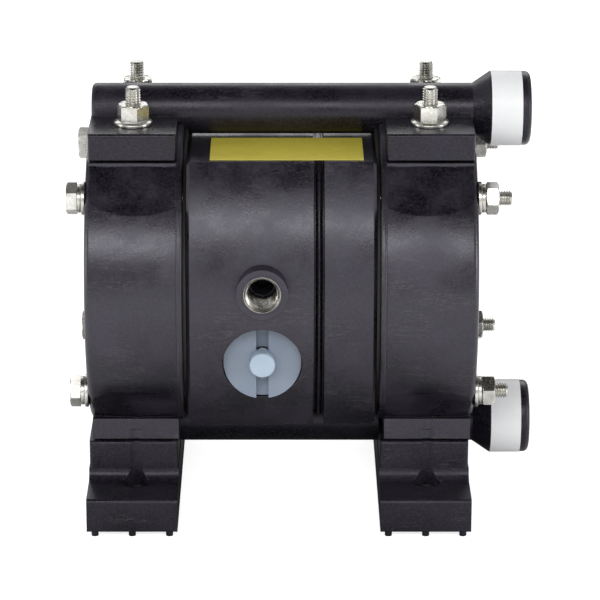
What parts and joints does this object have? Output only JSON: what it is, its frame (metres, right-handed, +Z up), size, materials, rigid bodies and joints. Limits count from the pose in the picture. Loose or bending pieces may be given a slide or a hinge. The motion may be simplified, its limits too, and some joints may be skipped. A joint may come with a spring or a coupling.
{
  "type": "air operated double diaphragm pump",
  "caption": "Small air-driven double diaphragm pump: round chambers on both sides of an air body, a manifold tube above and below, feet, threaded ports and a push reset button.",
  "frame": {"origin": "middle of the four foot holes, on the plane that the pump stands on", "axes": "+Z up, -Y the front with the air inlet and the reset button, +X the side that both liquid ports open to"},
  "size_m": [0.1826, 0.128, 0.1729],
  "materials": {
    "black_housing": "mottled satin",
    "black_manifold": "satin",
    "zinc_steel": "bright zinc",
    "dark_steel": "dull",
    "insert_metal": "machined",
    "white_tape": "smooth",
    "yellow_label": "smooth",
    "clear_cap": "frosted",
    "white_button": "smooth",
    "black_rubber": "matte",
    "ball_white": "smooth",
    "seat_plastic": "smooth",
    "valve_metal": "turned",
    "spool_metal": "ground"
  },
  "bodies": {
    "housing": {"left_chamber": "black_housing", "right_chamber": "black_housing", "center_body": "black_housing", "side_section": "black_housing", "spacer_plate": "black_manifold", "out_manifold": "black_manifold", "in_manifold": "black_manifold", "tie_bolts": "zinc_steel", "tie_plain_washers": "zinc_steel", "tie_spring_washers": "zinc_steel", "tie_nuts": "zinc_steel", "upper_studs": "zinc_steel", "upper_flange_nuts": "zinc_steel", "lower_studs": "zinc_steel", "lower_flange_nuts": "zinc_steel", "air_inlet_bush": "insert_metal", "exhaust_bush": "insert_metal", "port_bands": "white_tape", "caution_sticker": "yellow_label", "reset_cap": "clear_cap", "rear_cap": "clear_cap", "button_spring": "dark_steel", "right_diaphragm": "black_rubber", "left_diaphragm": "black_rubber", "rod_bushes": "seat_plastic", "rod_seals": "black_rubber", "ball_seats": "seat_plastic", "seat_o_rings": "black_rubber", "valve_sleeve": "valve_metal"},
    "rod_group": {"center_rod": "spool_metal", "right_inner_disc": "valve_metal", "left_inner_disc": "valve_metal", "right_outer_disc": "seat_plastic", "left_outer_disc": "seat_plastic", "rod_nuts": "dark_steel"},
    "in_ball_right": {"in_ball_right": "ball_white"},
    "in_ball_left": {"in_ball_left": "ball_white"},
    "out_ball_right": {"out_ball_right": "ball_white"},
    "out_ball_left": {"out_ball_left": "ball_white"},
    "spool_group": {"valve_spool": "spool_metal", "spool_rings": "black_rubber"},
    "button_group": {"reset_button": "white_button", "button_clip": "dark_steel"}
  },
  "joints": [
    {"name": "rod_slide", "type": "slide", "parent": "housing", "child": "rod_group", "axis": [1, 0, 0], "range_m": [-0.006, 0.006], "deforming": ["right_diaphragm", "left_diaphragm"]},
    {"name": "spool_slide", "type": "slide", "parent": "housing", "child": "spool_group", "axis": [0, 1, 0], "range_m": [0, 0.006]},
    {"name": "button_push", "type": "slide", "parent": "housing", "child": "button_group", "axis": [0, 1, 0], "range_m": [0, 0.0035], "stiffness_N_per_m": 400, "springref_m": -0.001, "deforming": ["button_spring"]},
    {"name": "in_ball_right_lift", "type": "slide", "parent": "housing", "child": "in_ball_right", "axis": [0, 0, 1], "range_m": [0, 0.0035]},
    {"name": "in_ball_left_lift", "type": "slide", "parent": "housing", "child": "in_ball_left", "axis": [0, 0, 1], "range_m": [0, 0.0035]},
    {"name": "out_ball_right_lift", "type": "slide", "parent": "housing", "child": "out_ball_right", "axis": [0, 0, 1], "range_m": [0, 0.0035]},
    {"name": "out_ball_left_lift", "type": "slide", "parent": "housing", "child": "out_ball_left", "axis": [0, 0, 1], "range_m": [0, 0.0035]}
  ]
}
